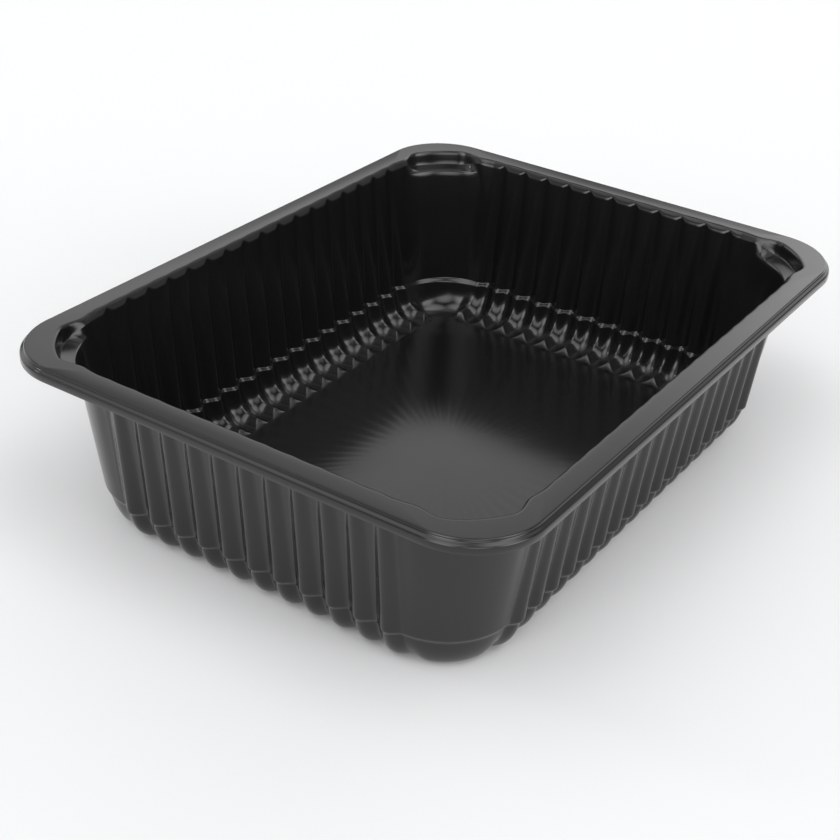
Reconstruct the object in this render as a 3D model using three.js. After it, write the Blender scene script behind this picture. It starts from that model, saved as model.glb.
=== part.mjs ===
// Ribbed plastic food tray, one thermoformed sheet. Millimetres, +Z up.
// Origin: centre of the tray's underside. The long side runs along Y.
import * as THREE from 'three';

// Rim, seen from above, and the sheet
const RIM_HALF_X = 93.5; // flange's top edge, half across
const RIM_HALF_Y = 123.5; // flange's top edge, half along
const RIM_RADIUS = 23.5; // flange's corners, at its top edge
const FLANGE_WIDTH = 7.4;
const SHEET = 0.6; // thickness of the sheet
const EDGE_DROP = 1.0; // small upright step below the flange's top edge
const EDGE_OUT = 0.1;
const SKIRT_OUT = 1.5; // how far the skirt stands outside the top edge
const SKIRT_TOP = 1.8; // depth at which the skirt begins
const SKIRT_END = 4.2; // depth of the skirt's lower edge

// Ribs: the same pitch on all four walls, the crests stand out of the tray
const PITCH = 10.1;
const RIBS_ALONG_Y = 17;
const RIBS_ALONG_X = 11;
const VALLEY_ROUND = 0.25; // how much the valleys between them are rounded
const BEND = 39.8; // the walls' corners turn about a point this far in
const BEND_CUT = 37.3; // nearer the walls' middles the last valley takes over

// Depths below the rim, for the inside face of the sheet
const NOTCH = 0.6; // ribs start here, right under the flange
const BAND = 1.8; // sloping band above the panels between the ribs
const LUG_END = 5.2; // corner lugs that keep stacked trays apart
const LUG_STEP = 6.3;
const UPPER = 17;
const LEDGE_TOP = 52.2;
const LEDGE_END = 53.3;
const RIDGE_TURN = 62; // the ridges between the pockets turn inwards here
const RIDGE_TOP = 62.4; // their height where they end
const FLOOR = 65.2; // the pockets open onto it

// Distances in from the flange's top edge, where the ridges end on the floor
const HIP_TOP = 26.3;
const HIP_BASE = 28.7;
const FLOOR_EDGE = 29.2;

// Corner lug: how far it bulges, and the part of the corner it takes
const LUG_OUT = 4.2;
const LUG_FOOT_OUT = 4.8;
const LUG_FULL = 15; // degrees either side of the diagonal
const LUG_NONE = 31;

// Sampling: places in each pitch, counted from a rib's crest
const ALL_PLACES = [-0.18, 0, 0.18, 0.5];
const CREST_AND_VALLEY = [0, 0.5];
const HIP_CORNERS = [-0.18, 0.18];
const ARC_STEPS = 10;
const FOOT_STEPS = 3;
const SAME = 1e-9; // how close two places round the tray count as one
const RIB_LEAD = 1; // place of the corner's first point, in steps of the arc
const RIM_LEAD = 0.5; // the rim's corners come first, so nothing folds back

// Inside face, ring by ring from the flange inwards. crest and valley are
// [distance in from the flange's top edge, depth]; power sets how narrow the
// ribs are (1 gives full round lobes that meet in a sharp valley); corner is
// [distance in, depth], reached from the last valley as a rib's crest is; lug
// is [bulge outwards, depth] in the middle of the corner; places are the
// samples kept in each pitch.
const WALL_RINGS = [
  { crest: [FLANGE_WIDTH, 0], valley: [FLANGE_WIDTH, 0], power: 1,
    corner: [FLANGE_WIDTH, 0], lug: [LUG_OUT, 0], places: CREST_AND_VALLEY },
  { crest: [8.0, NOTCH], valley: [8.8, BAND], power: 8,
    corner: [8.8, BAND], lug: [LUG_FOOT_OUT, LUG_END] },
  { crest: [9.8, UPPER], valley: [11.2, UPPER], power: 3.2,
    corner: [9.2, LUG_STEP] },
  { crest: [13.4, LEDGE_TOP], valley: [16.0, LEDGE_TOP], power: 2,
    corner: [16.0, LEDGE_TOP] },
];
const LEDGE_RING = { crest: [14.5, LEDGE_END], valley: [17.1, LEDGE_END],
  power: 1.8, corner: [17.1, LEDGE_END] };
const TURN_RING = { crest: [17.6, FLOOR], valley: [19, RIDGE_TURN],
  power: 0.9, corner: [19.4, FLOOR] };
const HIP_RING = { crest: [HIP_BASE, FLOOR], valley: [HIP_TOP, RIDGE_TOP],
  power: 0.85, corner: [HIP_BASE, FLOOR] };
const FLOOR_RING = { crest: [FLOOR_EDGE, FLOOR], valley: [FLOOR_EDGE, FLOOR],
  power: 1, corner: [FLOOR_EDGE, FLOOR], places: HIP_CORNERS };

// Rim rings, plain all round: [distance in, depth]
const RIM = [
  [-SKIRT_OUT, SKIRT_END],
  [-SKIRT_OUT, SKIRT_TOP],
  [-EDGE_OUT, EDGE_DROP],
  [0, 0],
];

// The four walls, anticlockwise: outward direction and half size
const WALLS = [
  { out: [1, 0], half: RIM_HALF_X, ribs: RIBS_ALONG_Y },
  { out: [0, 1], half: RIM_HALF_Y, ribs: RIBS_ALONG_X },
  { out: [-1, 0], half: RIM_HALF_X, ribs: RIBS_ALONG_Y },
  { out: [0, -1], half: RIM_HALF_Y, ribs: RIBS_ALONG_X },
];

const mix = (a, b, w) => a + (b - a) * w;

// A point at distances p and q along two perpendicular directions
function at(dirP, p, dirQ, q, depth) {
  const x = dirP[0] * p + dirQ[0] * q;
  const y = dirP[1] * p + dirQ[1] * q;
  return [x, y, -depth];
}

// 1 on a rib's crest, 0 in the valley, s counted in pitches
function ribShare(s, power) {
  const round = (c) => Math.hypot(c, VALLEY_ROUND) - VALLEY_ROUND;
  return Math.max(round(Math.cos(Math.PI * s)) / round(1), 0) ** power;
}

// Share of the lug's bulge at an angle round the corner, in degrees
function lugShare(angle) {
  const off = Math.abs(angle - 45);
  return 1 - THREE.MathUtils.smoothstep(off, LUG_FULL, LUG_NONE);
}

// The ring a share t of the way round the foot's rounding
function footRing(t) {
  const ease = (a, b, c) => mix(mix(a, b, t), mix(b, c, t), t);
  const pair = (name) => LEDGE_RING[name].map(
    (v, i) => ease(v, TURN_RING[name][i], HIP_RING[name][i]));
  const power = ease(LEDGE_RING.power, TURN_RING.power, HIP_RING.power);
  return { crest: pair('crest'), valley: pair('valley'), power,
    corner: pair('corner') };
}

// One ribbed ring of { u, p }: u runs 0..4 round the tray
function ribbedRing({ crest, valley, power, corner, lug = [0, corner[1]],
  places = ALL_PLACES }) {
  const points = [];
  WALLS.forEach((wall, k) => {
    const next = WALLS[(k + 1) % WALLS.length];
    const last = wall.ribs / 2;
    const samples = places.includes(0.5) ? [-last] : [];
    for (let rib = 0.5 - last; rib < last; rib += 1) {
      places.forEach((place) => samples.push(rib + place));
    }
    samples.forEach((s) => {
      const w = ribShare(s, power);
      const into = mix(valley[0], crest[0], w);
      const down = mix(valley[1], crest[1], w);
      const p = at(wall.out, wall.half - into, next.out, s * PITCH, down);
      points.push({ u: k + 0.25 * (1 + s / last), p });
    });
    const radius = BEND - corner[0];
    const start = Math.asin((BEND - BEND_CUT) / radius);
    const shape = (angle) => {
      const end = Math.min(angle, Math.PI / 2 - angle) - start;
      const w = ribShare(0.5 + Math.min(end * radius / PITCH, 0.5), power);
      const share = lugShare(THREE.MathUtils.radToDeg(angle));
      const into = mix(valley[0], corner[0], w) - lug[0] * share;
      const down = mix(valley[1], corner[1], w);
      return [BEND - into, mix(down, lug[1], share)];
    };
    points.push(...cornerArc(wall, next, k, BEND, start, RIB_LEAD, shape));
  });
  return points;
}

// Points round one corner, from an angle of start to as much before the next
// wall; shape gives [radius, depth] at an angle
function cornerArc(wall, next, k, bend, start, lead, shape) {
  const list = [];
  for (let m = 0; m <= ARC_STEPS; m += 1) {
    const angle = mix(start, Math.PI / 2 - start, m / ARC_STEPS);
    const [r, down] = shape(angle);
    const p = wall.half - bend + r * Math.cos(angle);
    const q = next.half - bend + r * Math.sin(angle);
    const u = k + 0.5 + 0.5 * (m + lead) / (ARC_STEPS + 2);
    list.push({ u, p: at(wall.out, p, next.out, q, down) });
  }
  return list;
}

// Plain ring of the rim: its corners alone, joined by straight sides
function rimRing([inset, depth]) {
  return WALLS.flatMap((wall, k) => {
    const next = WALLS[(k + 1) % WALLS.length];
    const shape = () => [RIM_RADIUS - inset, depth];
    return cornerArc(wall, next, k, RIM_RADIUS, 0, RIM_LEAD, shape);
  });
}

// Triangles between two closed rings, going round both together
function bridge(indices, ringA, ringB, startA, startB) {
  let a = 0;
  let b = 0;
  const nA = ringA.length;
  const nB = ringB.length;
  const uA = (i) => ringA[i % nA].u + 4 * Math.floor(i / nA);
  const uB = (i) => ringB[i % nB].u + 4 * Math.floor(i / nB);
  while (a < nA || b < nB) {
    const i = startA + a % nA;
    const j = startB + b % nB;
    if (b === nB || (a < nA && uA(a + 1) < uB(b + 1) - SAME)) {
      indices.push(i, startA + (a + 1) % nA, j);
      a += 1;
    } else {
      indices.push(i, startB + (b + 1) % nB, j);
      b += 1;
    }
  }
}

// Inside face of the sheet, from the skirt's edge to the middle of the floor
function insideFace() {
  const foot = [];
  for (let i = 1; i < FOOT_STEPS; i += 1) {
    foot.push(footRing(i / FOOT_STEPS));
  }
  const ribbed = [...WALL_RINGS, LEDGE_RING, ...foot, HIP_RING, FLOOR_RING];
  const rings = [...RIM.map(rimRing), ...ribbed.map(ribbedRing)];
  const points = [];
  const starts = [];
  rings.forEach((list) => {
    starts.push(points.length);
    list.forEach(({ p }) => points.push(new THREE.Vector3(...p)));
  });
  const indices = [];
  for (let i = 1; i < rings.length; i += 1) {
    bridge(indices, rings[i - 1], rings[i], starts[i - 1], starts[i]);
  }
  const middle = points.length;
  points.push(new THREE.Vector3(0, 0, -FLOOR));
  const inner = rings.at(-1).length;
  const from = starts.at(-1);
  for (let i = 0; i < inner; i += 1) {
    indices.push(from + i, from + (i + 1) % inner, middle);
  }
  return { points, indices, edge: rings[0].length };
}

// The same points moved through the sheet, square to the faces round each
function outsideFace(points, indices) {
  const sums = points.map(() => new THREE.Vector3());
  const normals = [];
  for (let t = 0; t < indices.length; t += 3) {
    const tri = indices.slice(t, t + 3).map((i) => points[i]);
    const normal = new THREE.Triangle(...tri).getNormal(new THREE.Vector3());
    normals.push(normal);
    tri.forEach((p, c) => {
      const e1 = tri[(c + 1) % 3].clone().sub(p);
      const e2 = tri[(c + 2) % 3].clone().sub(p);
      sums[indices[t + c]].addScaledVector(normal, e1.angleTo(e2));
    });
  }
  sums.forEach((n) => n.normalize());
  const lowest = points.map(() => 1);
  indices.forEach((i, c) => {
    const lean = sums[i].dot(normals[Math.floor(c / 3)]);
    lowest[i] = Math.min(lowest[i], lean);
  });
  return points.map((p, i) => {
    const reach = SHEET / Math.max(lowest[i], 0.8);
    return p.clone().addScaledVector(sums[i], -reach);
  });
}

function trayGeometry() {
  const { points, indices, edge } = insideFace();
  const outside = outsideFace(points, indices);
  const n = points.length;
  const all = [...indices];
  for (let t = 0; t < indices.length; t += 3) {
    all.push(n + indices[t], n + indices[t + 2], n + indices[t + 1]);
  }
  for (let i = 0; i < edge; i += 1) {
    const j = (i + 1) % edge;
    all.push(j, i, n + i, j, n + i, n + j);
  }
  const geometry = new THREE.BufferGeometry();
  geometry.setFromPoints([...points, ...outside]);
  geometry.setIndex(all);
  geometry.computeBoundingBox();
  geometry.translate(0, 0, -geometry.boundingBox.min.z);
  geometry.computeVertexNormals();
  return geometry;
}

const black = new THREE.MeshStandardMaterial({
  color: 0x0b0b0c,
  roughness: 0.2,
  metalness: 0,
});

const tray = new THREE.Mesh(trayGeometry(), black);
tray.name = 'tray';

const group = new THREE.Group();
group.add(tray);

export default group;
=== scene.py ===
"""Ribbed black plastic food tray: the fine surface, its material and the studio."""
import math

import bpy
import numpy as np
from mathutils import Matrix, Vector


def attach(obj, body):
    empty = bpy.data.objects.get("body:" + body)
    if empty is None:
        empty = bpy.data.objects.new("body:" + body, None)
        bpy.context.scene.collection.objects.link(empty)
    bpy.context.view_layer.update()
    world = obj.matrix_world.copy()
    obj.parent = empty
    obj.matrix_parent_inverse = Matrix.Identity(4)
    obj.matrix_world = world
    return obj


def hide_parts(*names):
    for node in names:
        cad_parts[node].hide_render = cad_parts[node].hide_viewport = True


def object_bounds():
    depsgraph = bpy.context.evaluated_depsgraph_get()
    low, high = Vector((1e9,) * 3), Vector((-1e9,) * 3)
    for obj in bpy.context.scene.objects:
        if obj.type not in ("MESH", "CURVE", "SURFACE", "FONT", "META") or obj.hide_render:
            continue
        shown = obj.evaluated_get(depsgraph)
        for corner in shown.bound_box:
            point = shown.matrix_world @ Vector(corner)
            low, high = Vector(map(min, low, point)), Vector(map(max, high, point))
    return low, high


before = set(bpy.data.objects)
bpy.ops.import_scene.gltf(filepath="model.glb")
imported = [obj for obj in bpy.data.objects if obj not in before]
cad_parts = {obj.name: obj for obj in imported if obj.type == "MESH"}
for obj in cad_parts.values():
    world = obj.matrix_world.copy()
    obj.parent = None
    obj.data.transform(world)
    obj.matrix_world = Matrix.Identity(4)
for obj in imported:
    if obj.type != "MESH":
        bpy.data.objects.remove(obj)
cad_box = [list(map(float, corner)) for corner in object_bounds()]

MM = 0.001

# The tray's sizes in millimetres, as in the solid: rim, sheet and ribs
RIM_HALF = (93.5, 123.5)
RIM_RADIUS = 23.5
FLANGE_WIDTH = 7.4
SHEET = 0.6
MITRE = 0.8  # keeps the sheet's outside from running far out at sharp bends
EDGE_DROP, EDGE_OUT = 1.0, 0.1
SKIRT_OUT, SKIRT_TOP, SKIRT_END = 1.5, 1.8, 4.2
PITCH = 10.1
RIBS = (17, 11)  # on the walls along Y, along X
VALLEY_ROUND = 0.25
BEND, BEND_CUT = 39.8, 37.3
NOTCH, BAND, LUG_END, LUG_STEP, UPPER = 0.6, 1.8, 5.2, 6.3, 17.0
LEDGE_TOP, LEDGE_END = 52.2, 53.3
RIDGE_TURN, RIDGE_TOP, FLOOR = 62.0, 62.4, 65.2
HIP_TOP, HIP_BASE, FLOOR_EDGE = 26.3, 28.7, 29.2
LUG_OUT, LUG_FOOT_OUT, LUG_FULL, LUG_NONE = 4.2, 4.8, 15.0, 31.0

# Fine sampling: places across half a rib, steps round a corner, round a bend
# and round the pockets' deep turn, and along the upper wall
HALF_RIB = (0, 0.09, 0.18, 0.27, 0.36, 0.43, 0.47, 0.5)
ARC_STEPS = 26
FILLET_STEPS = 3
TURN_STEPS = 12
UPPER_STEPS = 4
FLANGE_LEAD = 1.2  # the wall's rings start this far before the flange's edge

# The plastic: its colour, gloss and the height of its waves
PLASTIC, PLASTIC_IOR = (0.006, 0.006, 0.006, 1), 1.52
ROUGH, HAZE_SCALE, HAZE_DETAIL = (0.13, 0.19), 35, 3
WAVE_SCALE, WAVE_DETAIL, WAVE_STRENGTH, WAVE_HEIGHT = 60, 2, 0.04, 0.0006

# The table top: half its side in metres, colour and gloss
TABLE, TABLE_CARD = 3.0, (0.745, 0.75, 0.755, 1)
TABLE_ROUGH, TABLE_SHINE = 0.7, 0.1

# The room's light: the even part; the glow low down behind the tray, with its
# way, its reach to the sides and its rise and fall by height; and the lamp
ROOM_BASE = 0.02
GLOW, GLOW_WAY, GLOW_SIDES = 0.95, (-0.309, 0.951, 0), (0.6, 0.95)
GLOW_FOOT, GLOW_HEAD = (0.28, 0.42), (0.68, 0.4)
LAMP_WAY, LAMP_FULL, LAMP_GONE, LAMP = (-0.76, -0.3, 0.58), 1, 4, 16.0

# The soft boxes, by strength, elevation and azimuths from +X to +Y: the keys
# low and high in front and on the right, weaker ones at the other two sides,
# and faint ones to fill in round them, behind the tray and from above. A box
# is full within the first angle off its middle and gone beyond the second
KEY_LOW, KEY, SIDE, FILL, BEHIND = 3.8, 2.6, 1.5, 0.85, 0.4
LOW, MIDDLE, HIGH, TOP = 18, 40, 57, 90
BOX_RINGS = [
    (KEY_LOW, LOW, (270, 0)),
    (KEY, LOW, (315,)),
    (SIDE, LOW, (90, 180)),
    (FILL, LOW, (225,)),
    (BEHIND, LOW, (45, 135)),
    (BEHIND, MIDDLE, (75, 105, 135)),
    (KEY, HIGH, (270, 0)),
    (FILL, HIGH, (45, 190, 225)),
    (FILL, TOP, (0,)),
]
BOX_FULL, BOX_GONE = 4, 26

# The camera: azimuth, elevation and roll in degrees, the point it looks at
# in the rim's plane and its distance in millimetres, the focal length against
# half the picture's width, and the lens's shift in picture widths
VIEW_ANGLES = (32.591, 30.616, 3.047)
VIEW_POINT, VIEW_DISTANCE = (37.46, -76.58), 466.23
VIEW_FOCUS = 3.73643
VIEW_SHIFT = (-0.00025, -0.00119)


def spec(crest, valley, power, corner, lug=None, soft=(0.3, 0.3),
         turn=FILLET_STEPS, steps=1):
    """One control ring: [distance in, depth] on crests and in valleys, the
    ribs' narrowness, the corner's [distance in, depth], the lug's [bulge,
    depth], how much of the spans before and after are rounded and in how
    many steps, and how many steps the span after it takes."""
    lug = lug or (0, corner[1])
    values = np.array([*crest, *valley, power, *corner, *lug], float)
    return {"values": values, "soft": soft, "turn": turn, "steps": steps}


def plain(inset, depth, **more):
    """A control ring without ribs."""
    flat = (inset, depth)
    return spec(flat, flat, 1, flat, **more)


RIM = [
    plain(-SKIRT_OUT, SKIRT_END),
    plain(-SKIRT_OUT, SKIRT_TOP, soft=(0.3, 0.35)),
    plain(-EDGE_OUT, EDGE_DROP, soft=(0.3, 0.4)),
    plain(0, 0, soft=(0.5, 0.06)),
    plain(FLANGE_WIDTH, 0),  # only leads the rounding of the edge before it
]
WALL = [
    plain(FLANGE_WIDTH - FLANGE_LEAD, 0, lug=(LUG_OUT, 0)),
    plain(FLANGE_WIDTH, 0, lug=(LUG_OUT, 0), soft=(0.5, 0.3)),
    spec((8.0, NOTCH), (8.8, BAND), 8, (8.8, BAND),
         lug=(LUG_FOOT_OUT, LUG_END), soft=(0.35, 0.06)),
    spec((9.8, UPPER), (11.2, UPPER), 3.2, (9.2, LUG_STEP),
         soft=(0.12, 0.05), steps=UPPER_STEPS),
    spec((13.4, LEDGE_TOP), (16.0, LEDGE_TOP), 2, (16.0, LEDGE_TOP),
         soft=(0.02, 0.3)),
    spec((14.5, LEDGE_END), (17.1, LEDGE_END), 1.8, (17.1, LEDGE_END),
         soft=(0.3, 0.08)),
    spec((17.6, FLOOR), (19, RIDGE_TURN), 0.9, (19.4, FLOOR),
         soft=(0.9, 0.6), turn=TURN_STEPS),
    spec((HIP_BASE, FLOOR), (HIP_TOP, RIDGE_TOP), 0.85, (HIP_BASE, FLOOR),
         soft=(0.05, 0.2)),
    plain(FLOOR_EDGE, FLOOR),
]


def fillets(specs):
    """The control rings' values with each bend eased into a short curve."""
    rows = [specs[0]["values"]]
    for i in range(1, len(specs) - 1):
        before, here, after = (specs[i + d]["values"] for d in (-1, 0, 1))
        f, g = specs[i]["soft"]
        enter, leave = here + (before - here) * f, here + (after - here) * g
        if f or g:
            turn = specs[i]["turn"]
            for m in range(turn + 1):
                t = m / turn
                rows.append((1 - t) ** 2 * enter + 2 * t * (1 - t) * here
                            + t * t * leave)
        else:
            rows.append(here)
        n = specs[i]["steps"]
        if n > 1:
            end = after + (here - after) * specs[i + 1]["soft"][0]
            rows += [leave + (end - leave) * m / n for m in range(1, n)]
    rows.append(specs[-1]["values"])
    return rows


def lug_share(angle):
    """1 in the middle of a corner, easing to 0 on both sides of it."""
    off = abs(math.degrees(angle) - 45)
    t = min(max((off - LUG_FULL) / (LUG_NONE - LUG_FULL), 0), 1)
    return 1 - t * t * (3 - 2 * t)


def rib_share(s, power):
    """1 on a rib's crest, 0 in the valley, which is slightly rounded."""
    c, e = math.cos(math.pi * s), VALLEY_ROUND
    c = (math.hypot(c, e) - e) / (math.hypot(1, e) - e)
    return max(c, 0) ** power


def mix(a, b, w):
    """From a to b as w goes from 0 to 1."""
    return a + (b - a) * w


def ring(values, ribbed):
    """One closed ring of (u, point); u runs 0 to 4 round the tray."""
    ci, cd, vi, vd, power, ki, kd, bulge, lug_depth = values
    bend = BEND if ribbed else RIM_RADIUS
    start = math.asin((BEND - BEND_CUT) / (BEND - ki)) if ribbed else 0
    outs = ((1, 0), (0, 1), (-1, 0), (0, -1))
    points = []

    def at(k, p, q, depth):
        a, b = outs[k], outs[(k + 1) % 4]
        return (a[0] * p + b[0] * q, a[1] * p + b[1] * q, -depth)

    for k in range(4):
        half, ribs = RIM_HALF[k % 2], RIBS[k % 2]
        other = RIM_HALF[1 - k % 2]
        if ribbed:
            middle = ribs // 2
            places = sorted({round(c + side * h, 6)
                             for c in range(-middle, middle + 1)
                             for h in HALF_RIB for side in (-1, 1)})
            for s in places:
                w = rib_share(s - round(s), power)
                points.append((k + 0.25 * (1 + 2 * s / ribs), at(
                    k, half - mix(vi, ci, w), s * PITCH, mix(vd, cd, w))))
        for m in range(ARC_STEPS + 1):
            angle = mix(start, math.pi / 2 - start, m / ARC_STEPS)
            end = (min(angle, math.pi / 2 - angle) - start) * (BEND - ki)
            w = rib_share(0.5 + min(end / PITCH, 0.5), power)
            share = lug_share(angle)
            r = bend - mix(vi, ki, w) + bulge * share
            points.append((k + 0.5 + 0.5 * (m + 1) / (ARC_STEPS + 2), at(
                k, half - bend + r * math.cos(angle),
                other - bend + r * math.sin(angle),
                mix(mix(vd, kd, w), lug_depth, share))))
    return points


def bridge(ring_a, ring_b, start_a, start_b):
    """Triangles between two closed rings, going round both together."""
    na, nb = len(ring_a), len(ring_b)
    faces, a, b = [], 0, 0
    while a < na or b < nb:
        i, j = start_a + a % na, start_b + b % nb
        next_a = ring_a[(a + 1) % na][0] + 4 * ((a + 1) // na)
        next_b = ring_b[(b + 1) % nb][0] + 4 * ((b + 1) // nb)
        if b == nb or (a < na and next_a <= next_b):
            faces.append((i, start_a + (a + 1) % na, j))
            a += 1
        else:
            faces.append((i, start_b + (b + 1) % nb, j))
            b += 1
    return faces


def corner_angles(points, faces):
    """Each triangle's three corner angles, its unit normal and its area."""
    tri = points[faces]
    ahead = np.roll(tri, -1, axis=1) - tri
    behind = np.roll(tri, 1, axis=1) - tri
    cross = np.cross(ahead[:, 0], behind[:, 0])
    double = np.linalg.norm(cross, axis=1)
    dots = (ahead * behind).sum(2)
    angles = np.arctan2(double[:, None], dots)
    return angles, cross / double[:, None], double / 2


def vertex_normals(points, faces, by_area):
    """Unit normals at the points, from the faces round each weighted by their
    angle there and, if asked, their area, and the faces' own normals."""
    angles, normals, areas = corner_angles(points, faces)
    weights = angles * areas[:, None] if by_area else angles
    sums = np.zeros_like(points)
    for c in range(3):
        np.add.at(sums, faces[:, c], normals * weights[:, c:c + 1])
    sums /= np.linalg.norm(sums, axis=1)[:, None]
    return sums, normals


def tray_mesh():
    """The sheet's inside face, the same face moved through the sheet, and
    the skirt's edge that joins them. Returns points in mm and triangles."""
    rim = [ring(v, False) for v in fillets(RIM)[:-1]]
    wall = [ring(v, True) for v in fillets(WALL)]
    rings = rim + wall
    starts = np.cumsum([0] + [len(r) for r in rings])
    points = [p for r in rings for _, p in r]
    faces = []
    for i in range(1, len(rings)):
        faces += bridge(rings[i - 1], rings[i], starts[i - 1], starts[i])
    middle, last, inner = len(points), starts[-2], len(rings[-1])
    points.append((0, 0, -FLOOR))
    faces += [(last + i, last + (i + 1) % inner, middle) for i in range(inner)]
    points, faces = np.array(points, float), np.array(faces, int)
    toward, normals = vertex_normals(points, faces, False)
    lean = np.ones(len(points))
    for c in range(3):
        dots = (toward[faces[:, c]] * normals).sum(1)
        np.minimum.at(lean, faces[:, c], dots)
    outside = points - toward * (SHEET / np.maximum(lean, MITRE))[:, None]
    n, edge = len(points), len(rings[0])
    back = faces[:, ::-1] + n
    i = np.arange(edge)
    j = (i + 1) % edge
    skirt = np.concatenate([np.stack([j, i, n + i], 1),
                            np.stack([j, n + i, n + j], 1)])
    return np.concatenate([points, outside]), np.concatenate(
        [faces, back, skirt])


def make_tray():
    """The fine surface as an object, with its rim at the top of the solid."""
    points, faces = tray_mesh()
    points[:, 2] += cad_box[1][2] / MM
    mesh = bpy.data.meshes.new("fine_tray")
    mesh.from_pydata((points * MM).tolist(), [], faces.tolist())
    mesh.polygons.foreach_set("use_smooth", [True] * len(mesh.polygons))
    normals, _ = vertex_normals(points, faces, True)
    mesh.normals_split_custom_set_from_vertices(normals.tolist())
    mesh.update()
    tray = bpy.data.objects.new("fine_tray", mesh)
    bpy.context.collection.objects.link(tray)
    return tray


def black_plastic():
    """Glossy black polypropylene: hardly any colour of its own, faint haze
    and the slight waviness of a formed sheet."""
    material = bpy.data.materials.new("black_plastic")
    material.use_nodes = True
    tree = material.node_tree
    shader = tree.nodes["Principled BSDF"]
    shader.inputs["Base Color"].default_value = PLASTIC
    shader.inputs["IOR"].default_value = PLASTIC_IOR
    place = tree.nodes.new("ShaderNodeTexCoord")
    haze = tree.nodes.new("ShaderNodeTexNoise")
    haze.inputs["Scale"].default_value = HAZE_SCALE
    haze.inputs["Detail"].default_value = HAZE_DETAIL
    spread = tree.nodes.new("ShaderNodeMapRange")
    spread.inputs["To Min"].default_value = ROUGH[0]
    spread.inputs["To Max"].default_value = ROUGH[1]
    wave = tree.nodes.new("ShaderNodeTexNoise")
    wave.inputs["Scale"].default_value = WAVE_SCALE
    wave.inputs["Detail"].default_value = WAVE_DETAIL
    bump = tree.nodes.new("ShaderNodeBump")
    bump.inputs["Strength"].default_value = WAVE_STRENGTH
    bump.inputs["Distance"].default_value = WAVE_HEIGHT
    link = tree.links.new
    link(place.outputs["Object"], haze.inputs["Vector"])
    link(place.outputs["Object"], wave.inputs["Vector"])
    link(haze.outputs["Fac"], spread.inputs["Value"])
    link(spread.outputs["Result"], shader.inputs["Roughness"])
    link(wave.outputs["Fac"], bump.inputs["Height"])
    link(bump.outputs["Normal"], shader.inputs["Normal"])
    return material


def studio_floor():
    """A white table top, far larger than the view."""
    mesh = bpy.data.meshes.new("studio_floor")
    corners = [(x * TABLE, y * TABLE, 0) for x, y in
               ((-1, -1), (1, -1), (1, 1), (-1, 1))]
    mesh.from_pydata(corners, [], [(0, 1, 2, 3)])
    floor = bpy.data.objects.new("studio_floor", mesh)
    bpy.context.collection.objects.link(floor)
    material = bpy.data.materials.new("white_card")
    material.use_nodes = True
    shader = material.node_tree.nodes["Principled BSDF"]
    shader.inputs["Base Color"].default_value = TABLE_CARD
    shader.inputs["Roughness"].default_value = TABLE_ROUGH
    shader.inputs["Specular IOR Level"].default_value = TABLE_SHINE
    mesh.materials.append(material)
    return floor


def way_to(azimuth, elevation):
    """The way to an azimuth and an elevation in degrees."""
    a, e = math.radians(azimuth), math.radians(elevation)
    return (math.cos(a) * math.cos(e), math.sin(a) * math.cos(e), math.sin(e))


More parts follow.
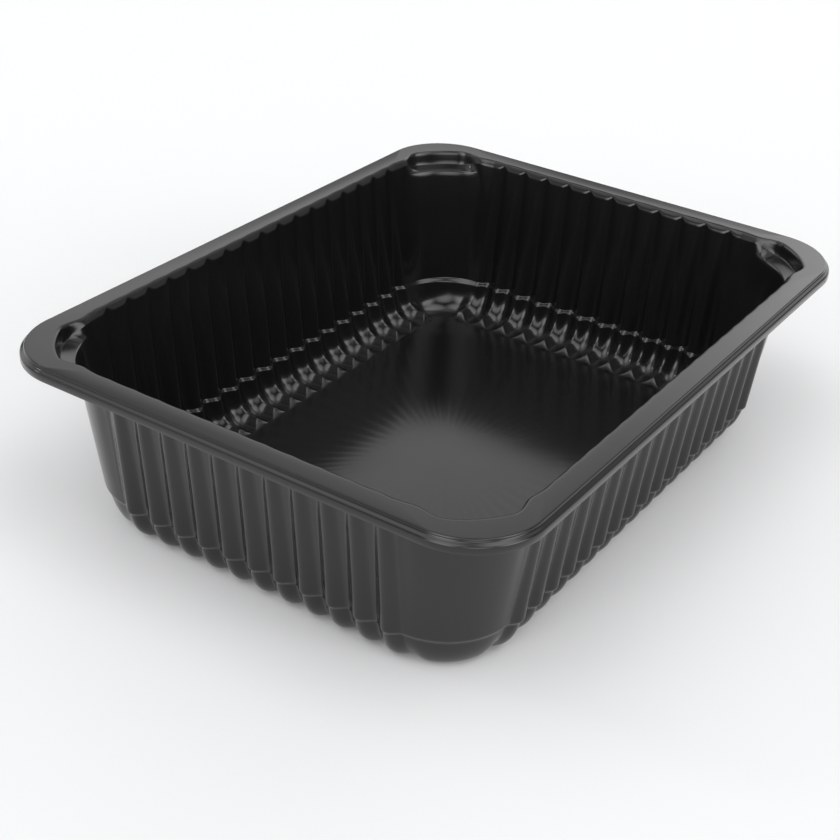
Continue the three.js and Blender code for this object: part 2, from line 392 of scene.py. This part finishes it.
def studio_world():
    """A pale room with a glow low down behind the tray and soft boxes."""
    world = bpy.data.worlds.new("studio_room")
    world.use_nodes = True
    tree = world.node_tree
    link = tree.links.new
    way = tree.nodes.new("ShaderNodeTexCoord").outputs["Generated"]

    def rise(direction, start, end, strength):
        """Rises smoothly from none to strength as the way's share along a
        direction goes from start to end."""
        dot = tree.nodes.new("ShaderNodeVectorMath")
        dot.operation = "DOT_PRODUCT"
        dot.inputs[1].default_value = Vector(direction).normalized()
        link(way, dot.inputs[0])
        span = tree.nodes.new("ShaderNodeMapRange")
        span.interpolation_type = "SMOOTHSTEP"
        span.inputs["From Min"].default_value = min(start, end)
        span.inputs["From Max"].default_value = max(start, end)
        span.inputs["To Min"].default_value = strength if start > end else 0
        span.inputs["To Max"].default_value = 0 if start > end else strength
        link(dot.outputs["Value"], span.inputs["Value"])
        return span.outputs["Result"]

    def join(operation, a, b):
        node = tree.nodes.new("ShaderNodeMath")
        node.operation = operation
        link(a, node.inputs[0])
        link(b, node.inputs[1])
        return node.outputs["Value"]

    up = (0, 0, 1)
    glow = join("MULTIPLY", rise(up, *GLOW_HEAD, GLOW), rise(up, *GLOW_FOOT, 1))
    total = join("MULTIPLY", glow, rise(GLOW_WAY, *GLOW_SIDES, 1))
    lights = [(way_to(azimuth, elevation), BOX_FULL, BOX_GONE, strength)
              for strength, elevation, azimuths in BOX_RINGS
              for azimuth in azimuths]
    lights.append((LAMP_WAY, LAMP_FULL, LAMP_GONE, LAMP))
    for direction, full, gone, strength in lights:
        inner, outer = (math.cos(math.radians(a)) for a in (full, gone))
        total = join("ADD", total, rise(direction, outer, inner, strength))
    base = tree.nodes.new("ShaderNodeValue")
    base.outputs["Value"].default_value = ROOM_BASE
    total = join("ADD", total, base.outputs["Value"])
    back = tree.nodes["Background"]
    back.inputs["Color"].default_value = (1, 1, 1, 1)
    link(total, back.inputs["Strength"])
    bpy.context.scene.world = world


def camera():
    """Looks down at the tray from in front and to the right of it."""
    azimuth, elevation, roll = (math.radians(a) for a in VIEW_ANGLES)
    back = Vector((math.sin(azimuth) * math.cos(elevation),
                   -math.cos(azimuth) * math.cos(elevation),
                   math.sin(elevation)))
    right = (-back).cross(Vector((0, 0, 1))).normalized()
    up = right.cross(-back)
    side = right * math.cos(roll) + up * math.sin(roll)
    top = up * math.cos(roll) - right * math.sin(roll)
    look_at = Vector((VIEW_POINT[0] * MM, VIEW_POINT[1] * MM, cad_box[1][2]))
    spot = look_at + back * VIEW_DISTANCE * MM
    data = bpy.data.cameras.new("view")
    data.sensor_fit = "HORIZONTAL"
    data.angle_x = 2 * math.atan(1 / VIEW_FOCUS)
    data.shift_x, data.shift_y = VIEW_SHIFT
    view = bpy.data.objects.new("view", data)
    view.matrix_world = Matrix((
        (side.x, top.x, back.x, spot.x),
        (side.y, top.y, back.y, spot.y),
        (side.z, top.z, back.z, spot.z),
        (0, 0, 0, 1)))
    bpy.context.collection.objects.link(view)
    bpy.context.scene.camera = view


tray = make_tray()
tray.data.materials.append(black_plastic())
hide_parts("tray")
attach(tray, "root")
studio_floor()

studio_world()
bpy.context.scene.view_settings.view_transform = "Standard"

camera()
